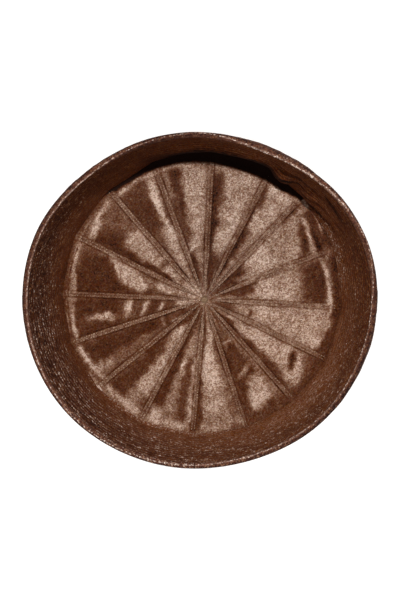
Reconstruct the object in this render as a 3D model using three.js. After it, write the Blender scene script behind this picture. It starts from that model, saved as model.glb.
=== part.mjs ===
// A round skullcap of brown pile cloth, lying on its crown with the head opening up.
// Sixteen padded gores make the flat crown and meet at a small tack of thread. A stiff band,
// quilted in rows, stands round them and ends in a folded rim that is pulled in a little.
// Millimetres, +Z up, X along the cap's longer side. The origin is on the surface that the cap
// lies on, under the middle of the band. Directions are degrees round +Z, from +X.

import * as THREE from "three";

// Driving sizes.
const rimLength = 190; // outside the band where it is widest, along X
const rimWidth = 179; // the same along Y
const capHeight = 55; // from the crown's outside to the fold of the rim
const crownDiameter = 160; // inside, where the band meets the crown
const bandCloth = 3.2; // thickness of the quilted band
const goreCloth = 1.6; // thickness of the crown's cloth at a seam
const gorePuff = 1.4; // how far the padding lifts the middle of a gore
const seamGap = 0.3; // clearance between neighbouring pieces
const tackRadius = 1.9;

// Small forms of the crown.
const lipWidth = 1.7; // the turned seam edge that is stitched down on each side of a seam
const lipHeight = 0.5;
const underSeam = 0.8; // depth of the groove that a seam makes under the crown
const underEdge = 1.4; // how far the crown's outer edge is turned up from the surface
const edgeFlat = 1.1; // how far the crown's edge runs inside its circle between two seams
const creaseLift = 2.2; // height of the largest crease in a gore

// Small forms of the band.
const rowCount = 16; // rows of stitching
const rowDepth = 0.4; // how far a row draws the cloth in
const hemPull = 3.2; // how far the rim is pulled in at most
const dentDepth = 4.2; // how far the deepest dent comes in
const crownSwell = 3.2; // how far the crown is pushed out under the dents

// The seams, as seen from where they meet, each with the puff of the gore after it,
// as a share of gorePuff.
const seams = [
  { at: -3, puff: 0.9 },
  { at: 22, puff: 0.9 },
  { at: 46.5, puff: 0.8 },
  { at: 63, puff: 1.0 },
  { at: 87, puff: 1.0 },
  { at: 110.5, puff: 0.9 },
  { at: 131, puff: 0.9 },
  { at: 153.5, puff: 1.0 },
  { at: 177.5, puff: 0.8 },
  { at: 198, puff: 1.0 },
  { at: 219.5, puff: 1.0 },
  { at: 242, puff: 1.0 },
  { at: 265, puff: 0.9 },
  { at: 288, puff: 1.0 },
  { at: 311.5, puff: 0.9 },
  { at: 334, puff: 0.8 },
];

// The seams meet a little off the middle: shares of the crown's radius.
const meetShare = { x: 0.021, y: -0.028 };

// Creases in the gores. at and reach are in degrees, out and spread are shares of the crown's
// radius, slant is how much further out the crest is at the crease's end, and lift is a share
// of creaseLift.
const creases = [
  { at: 18, reach: 27, out: 0.93, spread: 0.05, slant: 0.05, lift: 1.0 },
  { at: 115, reach: 5, out: 0.68, spread: 0.3, slant: 0, lift: 0.35 },
  { at: 143, reach: 7, out: 0.84, spread: 0.12, slant: -0.05, lift: 0.3 },
  { at: 163, reach: 8, out: 0.56, spread: 0.12, slant: -0.12, lift: 0.4 },
  { at: 186, reach: 9, out: 0.47, spread: 0.06, slant: 0.06, lift: 0.5 },
  { at: 185, reach: 9, out: 0.33, spread: 0.05, slant: 0.05, lift: 0.4 },
  { at: 190, reach: 4, out: 0.8, spread: 0.16, slant: 0, lift: 0.35 },
  { at: 236, reach: 6, out: 0.6, spread: 0.35, slant: 0, lift: 0.35 },
  { at: 252, reach: 4, out: 0.68, spread: 0.25, slant: 0, lift: 0.4 },
  { at: 300, reach: 6, out: 0.8, spread: 0.14, slant: 0, lift: 0.4 },
  { at: 326, reach: 5, out: 0.76, spread: 0.07, slant: 0, lift: -0.35 },
];

// Where the crown's edge is pushed out: swell is a share of crownSwell.
const swells = [{ at: 80, reach: 48, swell: 1 }];

// Where the rim is pulled in: pull is a share of hemPull.
const hemPulls = [
  { at: -18, reach: 40, pull: 1.0 },
  { at: 64, reach: 30, pull: 0.95 },
  { at: 132, reach: 28, pull: 0.6 },
  { at: 186, reach: 42, pull: 0.75 },
  { at: 292, reach: 34, pull: 0.6 },
];

// Dents in the band. height and rise are shares of the band's height, and depth is a share of
// dentDepth, negative where the band bellies out.
const dents = [
  { at: 84, reach: 38, height: 0.4, rise: 0.36, depth: 0.75 },
  { at: 56, reach: 8, height: 0.34, rise: 0.34, depth: 1.0 },
  { at: 44, reach: 7, height: 0.28, rise: 0.3, depth: 0.6 },
  { at: 155, reach: 40, height: 0.45, rise: 0.45, depth: -0.3 },
  { at: 310, reach: 50, height: 0.5, rise: 0.5, depth: -0.35 },
];

// Shares of a gore's length where its sections stand, and of the band's height where its
// outside does.
const goreStations = [0.14, 0.32, 0.52, 0.7, 0.83, 0.92, 0.97, 1];
const outsideStations = [1, 0.9, 0.8, 0.7, 0.58, 0.46, 0.34, 0.22, 0.1, 0];
const widestShare = 0.8; // where on its height the band is widest
const bandSteps = 44; // even steps round the band, to which each dent adds its own
const leastStep = 2.2; // degrees
const foldSteps = 4;

const radians = THREE.MathUtils.degToRad;
const mix = THREE.MathUtils.lerp;
const smooth = THREE.MathUtils.smoothstep;
const crownRadius = crownDiameter / 2;
const seamHeight = underSeam + goreCloth;
const seatHeight = underEdge + goreCloth;
const footHeight = seatHeight + seamGap;
const foldHeight = capHeight - bandCloth / 2;
const meet = new THREE.Vector2(meetShare.x, meetShare.y).multiplyScalar(crownRadius);

// 1 in the middle and 0 from reach outwards.
function hump(distance, reach) {
  const t = Math.min(1, Math.abs(distance) / reach);
  return (1 - t * t) ** 2;
}

// The turn from one direction to another, from -180 to 180 degrees.
function turnFrom(from, to) {
  return THREE.MathUtils.euclideanModulo(to - from + 180, 360) - 180;
}

function direction(x, y) {
  return THREE.MathUtils.radToDeg(Math.atan2(y, x));
}

// Where a direction from the meeting point lies in its gore: 0 at its middle, 1 at its seams.
function acrossGore(at) {
  const past = seams.filter((seam) => turnFrom(seam.at, at) >= 0);
  const start = Math.min(...past.map((seam) => turnFrom(seam.at, at)));
  const ahead = seams.filter((seam) => turnFrom(at, seam.at) > 0);
  const end = Math.min(...ahead.map((seam) => turnFrom(at, seam.at)));
  return Math.abs((2 * start) / (start + end) - 1);
}

// Inside radius of the corner between crown and band, in a direction from the origin.
function crownEdge(at) {
  const x = crownRadius * Math.cos(radians(at));
  const y = crownRadius * Math.sin(radians(at));
  const across = acrossGore(direction(x - meet.x, y - meet.y));
  let radius = crownRadius - edgeFlat * (1 - across ** 2);
  for (const s of swells) radius += crownSwell * s.swell * hump(turnFrom(s.at, at), s.reach);
  return radius;
}

// How far the crown's edge lies from the meeting point, in a direction from that point.
function goreReach(at) {
  let reach = crownRadius;
  for (let i = 0; i < 6; i++) {
    const x = meet.x + reach * Math.cos(radians(at));
    const y = meet.y + reach * Math.sin(radians(at));
    reach += crownEdge(direction(x, y)) - Math.hypot(x, y);
  }
  return reach;
}

function creaseRise(at, out) {
  let rise = 0;
  for (const c of creases) {
    const turn = turnFrom(c.at, at);
    const crest = c.out + (c.slant * turn) / c.reach;
    rise += creaseLift * c.lift * hump(turn, c.reach) * hump(out - crest, c.spread);
  }
  return rise;
}

// A closed body of cloth between two grids of points, each grid a list of rows.
// The upper grid's rows and columns turn anticlockwise as seen from outside the body.
function clothBody(upper, lower) {
  const rows = upper.length;
  const columns = upper[0].length;
  const points = [...upper.flat(), ...lower.flat()];
  const faces = [];
  const at = (side, row, column) => (side * rows + row) * columns + column;
  const quad = (a, b, c, d) => faces.push(a, b, c, a, c, d);
  for (let r = 0; r < rows - 1; r++) {
    for (let c = 0; c < columns - 1; c++) {
      quad(at(0, r, c), at(0, r + 1, c), at(0, r + 1, c + 1), at(0, r, c + 1));
      quad(at(1, r, c), at(1, r, c + 1), at(1, r + 1, c + 1), at(1, r + 1, c));
    }
    const last = columns - 1;
    quad(at(0, r, 0), at(1, r, 0), at(1, r + 1, 0), at(0, r + 1, 0));
    quad(at(0, r, last), at(0, r + 1, last), at(1, r + 1, last), at(1, r, last));
  }
  for (let c = 0; c < columns - 1; c++) {
    const end = rows - 1;
    quad(at(0, 0, c), at(0, 0, c + 1), at(1, 0, c + 1), at(1, 0, c));
    quad(at(0, end, c), at(1, end, c), at(1, end, c + 1), at(0, end, c + 1));
  }
  return new THREE.BufferGeometry().setFromPoints(points).setIndex(faces);
}

// One gore: a padded wedge from the tack to under the band, with a stitched lip along each
// seam, flat underneath where it lies on the surface.
function makeGore(index) {
  const start = seams[index].at;
  const end = seams[(index + 1) % seams.length].at + (index + 1 < seams.length ? 0 : 360);
  const spanRadians = radians(end - start);
  const upper = [];
  const lower = [];
  const tip = tackRadius + seamGap;
  const inside = [0, ...goreStations].map((share) => ({ share, under: false }));
  for (const { share, under } of [...inside, { share: 1, under: true }]) {
    const upperRow = [];
    const lowerRow = [];
    const length = mix(tip, crownRadius, share);
    const width = length * spanRadians;
    const lip = Math.min(lipWidth, width * 0.22);
    const inset = seamGap / 2;
    const ease = smooth(share, 0, 0.3) * (1 - smooth(share, 0.9, 1));
    const toSeat = smooth(share, 0.92, 1);
    const halfFlat = width / 2 - inset - lip;
    const columns = [
      { arc: inset, lip: 0.4, groove: 1 },
      { arc: inset + lip / 2, lip: 1, groove: 0.7 },
      { arc: inset + lip, lip: 0, groove: 0.3 },
      ...[-0.5, 0, 0.5].map((v) => ({ arc: width / 2 + v * halfFlat, lip: 0, groove: 0, v })),
      { arc: width - inset - lip, lip: 0, groove: 0.3 },
      { arc: width - inset - lip / 2, lip: 1, groove: 0.7 },
      { arc: width - inset, lip: 0.4, groove: 1 },
    ];
    for (const column of columns) {
      const at = start + (end - start) * (column.arc / width);
      const reach = goreReach(at);
      const out = under ? reach + bandCloth : mix(tip, reach, share);
      const x = meet.x + out * Math.cos(radians(at));
      const y = meet.y + out * Math.sin(radians(at));
      const puff = column.v === undefined ? 0 : 1 - Math.abs(column.v) ** 2.5;
      let top = seamHeight + lipHeight * column.lip * (1 - toSeat);
      top += gorePuff * seams[index].puff * puff * ease;
      top += creaseRise(at, out / reach) * (column.v === undefined ? 0.5 : 1) * (1 - toSeat);
      top = Math.max(goreCloth, mix(top, seatHeight, toSeat));
      const nearTip = 1 - smooth(share, 0, 0.14);
      const groove = underSeam * Math.max(column.groove, nearTip);
      const bottom = under ? underEdge : mix(groove, underEdge, toSeat ** 2 * 0.4);
      upperRow.push(new THREE.Vector3(x, y, top));
      lowerRow.push(new THREE.Vector3(x, y, bottom));
    }
    upper.push(upperRow);
    lower.push(lowerRow);
  }
  return clothBody(upper, lower);
}

// Radius of the middle of the band's wall, in a direction and at a share of its height.
function bandMiddle(at, share) {
  const foot = crownEdge(at) + bandCloth / 2;
  const halfLength = rimLength / 2 - bandCloth / 2;
  const halfWidth = rimWidth / 2 - bandCloth / 2;
  const widest = 1 / Math.hypot(Math.cos(radians(at)) / halfLength, Math.sin(radians(at)) / halfWidth);
  let radius = mix(foot, widest, Math.min(1, share / widestShare));
  const hem = Math.max(0, (share - widestShare) / (1 - widestShare)) ** 2;
  for (const h of hemPulls) radius -= hemPull * h.pull * hump(turnFrom(h.at, at), h.reach) * hem;
  for (const d of dents) {
    radius -= dentDepth * d.depth * hump(turnFrom(d.at, at), d.reach) * hump(share - d.height, d.rise);
  }
  return radius;
}

// The directions of the band's sections: even steps, and the middle and flanks of each dent.
function bandDirections() {
  const wanted = Array.from({ length: bandSteps }, (_, i) => (i * 360) / bandSteps);
  for (const d of dents) {
    for (const part of [-1, -0.5, 0, 0.5, 1]) {
      wanted.push(THREE.MathUtils.euclideanModulo(d.at + part * d.reach, 360));
    }
  }
  wanted.sort((a, b) => a - b);
  const kept = [];
  for (const at of wanted) if (!kept.length || at - kept.at(-1) > leastStep) kept.push(at);
  return kept;
}

// The band's closed section in one direction, up the inside, over the fold and down the outside.
function bandSection(at) {
  const section = [];
  const heightOf = (share) => mix(footHeight, foldHeight, share);
  for (let i = 0; i <= 2 * rowCount; i++) {
    const share = i / (2 * rowCount);
    const drawnIn = i % 2 ? rowDepth : 0;
    section.push([bandMiddle(at, share) - bandCloth / 2 + drawnIn, heightOf(share)]);
  }
  for (let i = 1; i < foldSteps; i++) {
    const angle = Math.PI * (1 - i / foldSteps);
    const radius = bandMiddle(at, 1) + (bandCloth / 2) * Math.cos(angle);
    section.push([radius, foldHeight + (bandCloth / 2) * Math.sin(angle)]);
  }
  for (const share of outsideStations) {
    section.push([bandMiddle(at, share) + bandCloth / 2, heightOf(share)]);
  }
  const turn = radians(at);
  return section.map(([r, z]) => new THREE.Vector3(r * Math.cos(turn), r * Math.sin(turn), z));
}

function makeBand() {
  const sections = bandDirections().map(bandSection);
  const size = sections[0].length;
  const faces = [];
  sections.forEach((_, s) => {
    const here = s * size;
    const next = ((s + 1) % sections.length) * size;
    for (let i = 0; i < size; i++) {
      const j = (i + 1) % size;
      faces.push(here + i, here + j, next + j, here + i, next + j, next + i);
    }
  });
  return new THREE.BufferGeometry().setFromPoints(sections.flat()).setIndex(faces);
}

// The tack: a low round knot of thread that closes the crown where the gores' tips meet.
function makeTack() {
  const low = underSeam;
  const high = seamHeight + lipHeight;
  const side = tackRadius * 0.7;
  const profile = [
    new THREE.Vector2(0, low),
    new THREE.Vector2(side, low),
    new THREE.Vector2(tackRadius, mix(low, high, 0.25)),
    new THREE.Vector2(tackRadius, mix(low, high, 0.75)),
    new THREE.Vector2(side, high),
    new THREE.Vector2(0, high + lipHeight),
  ];
  const geometry = new THREE.LatheGeometry(profile, 14);
  geometry.rotateX(Math.PI / 2);
  return geometry.translate(meet.x, meet.y, 0);
}

const crownPile = new THREE.MeshStandardMaterial({ color: 0x8a6653, roughness: 0.75, metalness: 0 });
const bandPile = new THREE.MeshStandardMaterial({ color: 0x54301f, roughness: 0.9, metalness: 0 });
const thread = new THREE.MeshStandardMaterial({ color: 0x7d6350, roughness: 0.8, metalness: 0 });

function piece(name, geometry, material) {
  geometry.computeVertexNormals();
  const mesh = new THREE.Mesh(geometry, material);
  mesh.name = name;
  return mesh;
}

const cap = new THREE.Group();
seams.forEach((_, i) => {
  const number = String(i + 1).padStart(2, "0");
  cap.add(piece(`crown_gore_${number}`, makeGore(i), crownPile));
});
cap.add(piece("quilted_band", makeBand(), bandPile));
cap.add(piece("crown_tack", makeTack(), thread));

export default cap;
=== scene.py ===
import math

import bpy
import numpy as np
from mathutils import Euler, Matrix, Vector


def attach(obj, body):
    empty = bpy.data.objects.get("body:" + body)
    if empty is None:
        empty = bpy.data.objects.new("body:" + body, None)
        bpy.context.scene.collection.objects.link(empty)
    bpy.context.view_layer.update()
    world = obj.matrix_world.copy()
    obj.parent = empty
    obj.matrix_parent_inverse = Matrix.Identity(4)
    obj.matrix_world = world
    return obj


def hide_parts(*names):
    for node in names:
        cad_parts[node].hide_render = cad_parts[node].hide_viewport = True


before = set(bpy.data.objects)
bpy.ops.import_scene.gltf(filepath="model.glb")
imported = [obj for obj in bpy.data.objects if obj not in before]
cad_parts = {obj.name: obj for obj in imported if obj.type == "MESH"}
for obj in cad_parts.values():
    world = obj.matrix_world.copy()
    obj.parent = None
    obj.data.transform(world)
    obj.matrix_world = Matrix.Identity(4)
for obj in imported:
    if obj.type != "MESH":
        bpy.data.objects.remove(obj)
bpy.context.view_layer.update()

picture_width, picture_height = 401, 601  # pixels
outline_left, outline_right = 23, 377
outline_top, outline_bottom = 133, 467
camera_distance = 0.655  # metres
camera_lean = (math.radians(-4), math.radians(1.6), 0)

camera = bpy.data.objects.new("camera", bpy.data.cameras.new("camera"))
bpy.context.scene.collection.objects.link(camera)
bpy.context.scene.camera = camera
camera.rotation_euler = camera_lean
camera_turn = Euler(camera_lean).to_matrix()
camera_place = camera_turn @ Vector((0, 0, camera_distance))
band_points = np.array([v.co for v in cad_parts["quilted_band"].data.vertices])
# It is moved sideways until the cap's outline fills its place in the picture.
for _ in range(6):
    seen = (band_points - np.array(camera_place)) @ np.array(camera_turn)
    across = seen[:, 0] / -seen[:, 2]
    up = seen[:, 1] / -seen[:, 2]
    pixels = (outline_right - outline_left) / (across.max() - across.min())
    middle_across = ((outline_left + outline_right) - picture_width) / 2 / pixels
    middle_down = ((outline_top + outline_bottom) - picture_height) / 2 / pixels
    miss_across = (across.max() + across.min()) / 2 - middle_across
    miss_up = (up.max() + up.min()) / 2 + middle_down
    camera_place += camera_turn @ Vector((miss_across, miss_up, 0)) * camera_distance
camera.location = camera_place
camera.data.lens = camera.data.sensor_width * pixels / picture_height
camera.data.clip_start = 0.01

# The floor and the lights
# A plain white sheet of board, a small steep lamp that throws the wall's shadow on the
# crown, a wide weak one that reaches the shaded side of the wall, and a pale room round them.
mm = 0.001


def build_mesh(name, points, faces, material):
    """A smooth mesh object from rows of points and a list of faces, linked to the scene."""
    mesh = bpy.data.meshes.new(name)
    mesh.from_pydata(np.asarray(points).tolist(), [], faces)
    mesh.polygons.foreach_set("use_smooth", [True] * len(mesh.polygons))
    mesh.materials.append(material)
    made = bpy.data.objects.new(name, mesh)
    bpy.context.scene.collection.objects.link(made)
    return made


def set_inputs(node, **values):
    """Set a shader node's sockets by name, _ standing for a space, and return the node."""
    for name, value in values.items():
        node.inputs[name.replace("_", " ")].default_value = value
    return node


def start_material(name, roughness, specular):
    """A new material, with its nodes, its links and its shader."""
    material = bpy.data.materials.new(name)
    material.use_nodes = True
    nodes, links = material.node_tree.nodes, material.node_tree.links
    shader = nodes["Principled BSDF"]
    set_inputs(shader, Roughness=roughness, Specular_IOR_Level=specular)
    return material, nodes, links, shader


def board_material():
    """Matt white board."""
    material, _, _, shader = start_material("white_board", roughness=0.9, specular=0.1)
    white = (0.97, 0.97, 0.97, 1)
    set_inputs(shader, Base_Color=white, Emission_Color=(1, 1, 1, 1), Emission_Strength=0.14)
    return material


def add_sun(name, direction, steepness, width, strength, colour):
    """A far light from a direction and a height, both in degrees; width softens its shadows."""
    sun = bpy.data.objects.new(name, bpy.data.lights.new(name, "SUN"))
    sun.data.angle = math.radians(width)
    sun.data.energy = strength
    sun.data.color = colour
    flat = math.cos(math.radians(steepness))
    towards = Vector((
        flat * math.cos(math.radians(direction)),
        flat * math.sin(math.radians(direction)),
        math.sin(math.radians(steepness)),
    ))
    sun.rotation_euler = towards.to_track_quat("Z", "Y").to_euler()
    bpy.context.scene.collection.objects.link(sun)


def pale_studio(low_light, high_light, low_reach):
    """Pale walls all round that glow near the floor and fade to a dim ceiling."""
    world = bpy.data.worlds.new("studio")
    bpy.context.scene.world = world
    world.use_nodes = True
    nodes, links = world.node_tree.nodes, world.node_tree.links
    background = set_inputs(nodes["Background"], Color=(1, 0.985, 0.97, 1))
    place = nodes.new("ShaderNodeTexCoord")
    height = nodes.new("ShaderNodeSeparateXYZ")
    fade = nodes.new("ShaderNodeMapRange")
    set_inputs(fade, From_Min=0, From_Max=low_reach, To_Min=low_light, To_Max=high_light)
    links.new(place.outputs["Generated"], height.inputs["Vector"])
    links.new(height.outputs["Z"], fade.inputs["Value"])
    links.new(fade.outputs["Result"], background.inputs["Strength"])


half_floor = 12  # metres from the middle to each side
floor_drop = 0.05 * mm
floor_corners = ((-1, -1), (1, -1), (1, 1), (-1, 1))
floor = build_mesh(
    "floor",
    [(x * half_floor, y * half_floor, -floor_drop) for x, y in floor_corners],
    [(0, 1, 2, 3)],
    board_material(),
)
add_sun("steep_lamp", direction=78, steepness=77.5, width=2.2, strength=2.7, colour=(1, 0.985, 0.965))
add_sun("wide_lamp", direction=250, steepness=66, width=40, strength=0.6, colour=(1, 0.96, 0.92))
pale_studio(low_light=0.85, high_light=0.05, low_reach=0.5)
bpy.context.scene.view_settings.view_transform = "Standard"

# The crown's gores
# Sixteen wedges of crushed velvet over thin wadding. Each seam's edges are turned up and
# topstitched on both sides, so that they stand as a narrow welt with a furrow beside it.
crown_radius = 80 * mm
band_cloth = 3.2 * mm
gore_cloth = 1.6 * mm
gore_puff = 1.4 * mm
tack_radius = 1.9 * mm
seam_gap = 0.02 * mm
lip_width = 1.7 * mm
lip_height = 0.5 * mm
stitch_beside = 0.8 * mm  # from a seam to the line of stitches on each side of it
padding_beside = 2.1 * mm  # from a seam to where a gore's padding begins
under_seam = 0.8 * mm
under_edge = 1.4 * mm
edge_flat = 1.1 * mm
crease_lift = 2.2 * mm
crown_swell = 3.2 * mm
seam_height = under_seam + gore_cloth
seat_height = under_edge + gore_cloth
meet = np.array([0.021, -0.028]) * crown_radius

# Each seam's direction in degrees, the puff of the gore after it, and how pale its welt is worn.
seams = [
    (-3, 0.9, 0.5), (22, 0.9, 0.35), (46.5, 0.8, 0.5), (63, 1.0, 0.4), (87, 1.0, 0.5),
    (110.5, 0.9, 0.6), (131, 0.9, 0.75), (153.5, 1.0, 0.8), (177.5, 0.8, 0.45), (198, 1.0, 0.75),
    (219.5, 1.0, 0.8), (242, 1.0, 0.75), (265, 0.9, 0.7), (288, 1.0, 0.5), (311.5, 0.9, 0.5),
    (334, 0.8, 0.5),
]
# Creases: direction, reach to each side, share of the way out, spread, slant, lift.
creases = [
    (18, 27, 0.93, 0.05, 0.05, 1.0),
    (115, 5, 0.68, 0.3, 0, 0.35),
    (143, 7, 0.84, 0.12, -0.05, 0.3),
    (163, 8, 0.56, 0.12, -0.12, 0.4),
    (186, 9, 0.47, 0.06, 0.06, 0.5),
    (185, 9, 0.33, 0.05, 0.05, 0.4),
    (190, 4, 0.8, 0.16, 0, 0.35),
    (236, 6, 0.6, 0.35, 0, 0.35),
    (252, 4, 0.68, 0.25, 0, 0.4),
    (300, 6, 0.8, 0.14, 0, 0.4),
    (326, 5, 0.76, 0.07, 0, -0.35),
]
# How the pile lies, patch by patch: from and to direction, from and to share of the crown's
# radius, and tone, 0 where the pile drinks the light and 1 where it throws it back. Where a patch
# is askew, its slant across the gore and the lean of its far end in degrees follow.
# Near the crown's edge some patches are painted light: painted highlights along the edge on the left and
# at the bottom, painted shade along it on the lower right.
pile_patches = [
    # Gores on the right, anticlockwise from the seam at -3 degrees
    (-3, 22, 0.05, 1.02, 0.62), (-1, 20, 0.4, 0.66, 0.8), (5, 18, 0.38, 0.54, 0.92, 0.03),
    (8, 23, 0.17, 0.37, 0.16, 0.03), (-1, 7, 0.24, 0.36, 0.6), (-2, 20, 0.72, 0.875, 0.16, 0.01),
    (22, 46, 0.05, 1.02, 0.7), (26, 45, 0.38, 0.58, 0.88), (27, 35, 0.18, 0.36, 0.62),
    (35, 46, 0.17, 0.37, 0.1), (24, 37, 0.78, 0.875, 0.1, 0.04, 4), (44, 47.5, 0.78, 0.98, 0.2),
    (47.5, 51, 0.87, 0.955, 0.26),
    (46, 63, 0.05, 1.02, 0.62), (48.5, 61, 0.58, 0.96, 0.78, 0, 2), (48, 55, 0.2, 0.6, 0.62, 0, 1),
    (55, 64, 0.18, 0.6, 0.06, 0, 2), (59.5, 63, 0.55, 0.95, 0.2, 0, 1),
    # Gores along the top
    (63, 87, 0.05, 1.02, 0.56), (66, 80, 0.33, 0.96, 0.7, 0, 3), (80, 88, 0.16, 0.92, 0.03, 0, 2),
    (70, 81, 0.16, 0.34, 0.12), (67, 73, 0.5, 0.7, 0.8),
    (87, 110, 0.05, 1.02, 0.45), (90, 101, 0.4, 0.96, 0.72), (101, 106, 0.6, 0.97, 0.05, 0, -2),
    (104, 109, 0.42, 0.75, 0.22), (99, 109, 0.15, 0.35, 0.06), (90, 108, 0.375, 0.39, 0.9, -0.03),
    (90, 99, 0.27, 0.36, 0.58),
    (110, 131, 0.05, 1.02, 0.3), (113.5, 118, 0.55, 0.94, 0.85, 0, -3), (118.5, 130, 0.56, 0.93, 0.1),
    (113, 124, 0.3, 0.6, 0.78, 0, -3), (116, 127, 0.2, 0.42, 0.66),
    (110, 130, 0.955, 0.985, 0.78, 0.01),
    # Gores on the left
    (131, 153.5, 0.05, 1.02, 0.36), (134, 146, 0.43, 0.7, 0.68, 0, -2), (134, 142, 0.72, 0.88, 0.28),
    (142, 151, 0.7, 0.88, 0.1), (133, 146, 0.22, 0.36, 0.75), (134, 147, 0.41, 0.435, 0.85, 0.01),
    (135, 150, 0.375, 0.395, 0.2, 0.01), (147, 153, 0.15, 0.93, 0.03, 0, -1),
    (133, 151, 0.945, 0.975, 0.74, -0.02), (142, 151, 0.905, 0.95, 0.82, -0.01),
    (138, 152, 0.985, 0.998, 0.6),
    (153.5, 177.5, 0.05, 1.02, 0.34), (157, 177, 0.68, 0.94, 0.05), (166, 177, 0.5, 0.72, 0.06),
    (155, 171, 0.43, 0.69, 0.8, -0.08, -5), (155, 168, 0.21, 0.36, 0.72),
    (167, 177, 0.36, 0.43, 0.12, 0.02), (155, 177, 0.95, 0.977, 0.82, -0.02),
    (169, 177, 0.935, 0.975, 0.72),
    (177.5, 198, 0.05, 1.02, 0.22), (179, 189, 0.6, 0.94, 0.05), (188.5, 192, 0.66, 0.86, 0.74),
    (192, 197.5, 0.6, 0.93, 0.1), (181, 190.5, 0.53, 0.575, 0.96, 0.01),
    (179, 197, 0.415, 0.45, 0.78, 0.035), (180, 196, 0.345, 0.395, 0.06, 0.03),
    (180, 195, 0.3, 0.33, 0.72, 0.025), (180, 193, 0.24, 0.28, 0.12), (178, 197, 0.945, 0.975, 0.84),
    (178, 185, 0.93, 0.98, 0.62), (180, 197, 0.05, 0.2, 0.55),
    (198, 219.5, 0.05, 1.02, 0.27), (200.5, 210, 0.36, 0.93, 0.04), (210.5, 215, 0.77, 0.93, 0.68),
    (210, 217, 0.49, 0.56, 0.5), (211, 217, 0.36, 0.78, 0.34), (199, 214, 0.28, 0.312, -0.1),
    (206, 218, 0.19, 0.275, 0.76), (199, 217, 0.325, 0.34, 0.52),
    (200, 218, 0.925, 0.965, 0.82, -0.018),
    # Gores along the bottom
    (219.5, 242, 0.05, 1.02, 0.34), (221.5, 231, 0.42, 0.93, 0.05), (219, 226, 0.17, 0.44, 0.1),
    (227, 241, 0.2, 0.45, 0.72, 0, 3), (231, 240, 0.42, 0.8, 0.68, 0, 2), (232, 237, 0.78, 0.93, 0.5),
    (222, 240, 0.92, 0.97, 0.76),
    (242, 265, 0.05, 1.02, 0.34), (243.5, 250, 0.17, 0.85, 0.04, 0, -1), (250, 255.5, 0.42, 0.86, 0.5),
    (250.5, 254, 0.44, 0.55, 0.74), (256, 261, 0.43, 0.9, 0.16), (251, 262, 0.2, 0.42, 0.45),
    (261, 264, 0.43, 0.93, 0.62), (244.5, 250, 0.85, 0.975, 0.84), (249, 263, 0.9, 0.965, 0.7),
    (265, 288, 0.05, 1.02, 0.5), (264.5, 268.5, 0.3, 0.97, 0.1), (269, 283, 0.36, 0.96, 0.62),
    (268.5, 280, 0.34, 0.61, 0.84, 0, -2), (276, 283, 0.62, 0.72, 0.5, 0.02),
    (270, 279, 0.82, 0.9, 0.48, -0.02), (273, 283, 0.19, 0.36, 0.72, 0, -2),
    (283, 289, 0.2, 0.97, 0.36), (284, 288, 0.86, 0.93, 0.6),
    (288, 311.5, 0.05, 1.02, 0.28), (290, 297, 0.43, 0.93, 0.04), (296, 306, 0.36, 0.64, 0.07),
    (295, 308, 0.64, 0.86, 0.82, -0.03, -5), (294, 304, 0.56, 0.6, 0.56, -0.03),
    (290, 308, 0.335, 0.35, 0.62), (306, 313, 0.22, 0.82, 0.5), (290, 311, 0.88, 1.02, 0.16),
    (311.5, 334, 0.05, 1.02, 0.42), (312, 318, 0.22, 0.86, 0.18, 0, -1), (318, 333, 0.18, 0.74, 0.76),
    (316, 331, 0.73, 0.86, 0.8, -0.05), (321, 331, 0.745, 0.79, 0.06, -0.025),
    (312, 334, 0.885, 1.02, 0.16),
    (334, 357, 0.05, 1.02, 0.6), (336.5, 355, 0.33, 0.92, 0.76, 0.035), (340, 354, 0.36, 0.47, 0.86),
    (339, 346, 0.335, 0.36, 0.2), (335, 356, 0.91, 0.965, 0.1, 0.035), (337, 357, 0.1, 0.22, 0.28),
    # The fold on the right with a painted highlight on its ridge, painted shade in the furrow outside it,
    # and pale spots on the crown's edge
    (-28, -2, 0.94, 1.1, 0.1, 0.025), (-9, 42, 0.915, 1.1, 0.07, 0.01), (21, 41, 0.88, 1.1, 0.1, 0.02),
    (-7, 21, 0.876, 0.904, 0.88, -0.014), (20, 40, 0.858, 0.893, 0.82, 0.03),
    (1, 12, 0.972, 0.987, 0.75), (19.5, 23.5, 0.9, 0.97, 0.5), (100, 112, 0.965, 0.985, 0.6),
    (30, 40, 0.972, 0.99, 0.62, 0.016),
    # Round the middle
    (120, 200, 0.03, 0.2, 0.72), (8, 62, 0.05, 0.18, 0.45), (288, 345, 0.05, 0.19, 0.46),
    (67, 80, 0.05, 0.3, 0.1), (28, 40, 0.08, 0.28, 0.16), (10, 17, 0.1, 0.28, 0.24),
    (202, 212, 0.14, 0.3, 0.14), (223, 231, 0.06, 0.3, 0.06), (245, 252, 0.05, 0.3, 0.1),
    (267, 271, 0.05, 0.3, 0.12), (299, 305, 0.04, 0.2, 0.14), (313, 320, 0.1, 0.35, 0.12),
    (341, 347, 0.06, 0.2, 0.26), (97, 105, 0.1, 0.25, 0.2),
    # Painted shade in the strip under the band's foot and in a thin line beside it, and painted highlights
    # along the crown's edge on the left and at the bottom
    (112, 170, 1.0, 1.2, 0.12), (165, 265, 0.99, 1.2, 0.12), (262, 290, 0.97, 1.2, 0.18),
    (146, 197, 0.979, 0.984, 0.1), (146, 197, 0.989, 0.994, 0.55), (212, 224, 0.975, 1.02, 0.62),
    (224, 272, 0.968, 1.005, 0.55),
]
# The crown's margin behind the dented wall, where no light falls: direction, share of the radius.
dark_margin = [
    (44, 1.1), (46, 0.985), (54, 0.955), (75, 0.955), (82, 0.965), (90, 0.983), (100, 0.992),
    (112, 0.996), (122, 0.997), (128, 1.002), (134, 1.03),
]


def hump(distance, reach):
    """1 in the middle and 0 from reach outwards."""
    return (1 - np.minimum(1, np.abs(distance) / reach) ** 2) ** 2


def ease(value, low, high):
    """0 up to low, 1 from high, and smooth between them."""
    t = np.clip((value - low) / (high - low), 0, 1)
    return t * t * (3 - 2 * t)


def turn_from(start, at):
    """The turn from one direction to another, from -180 to 180 degrees."""
    return (at - start + 180) % 360 - 180


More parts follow.
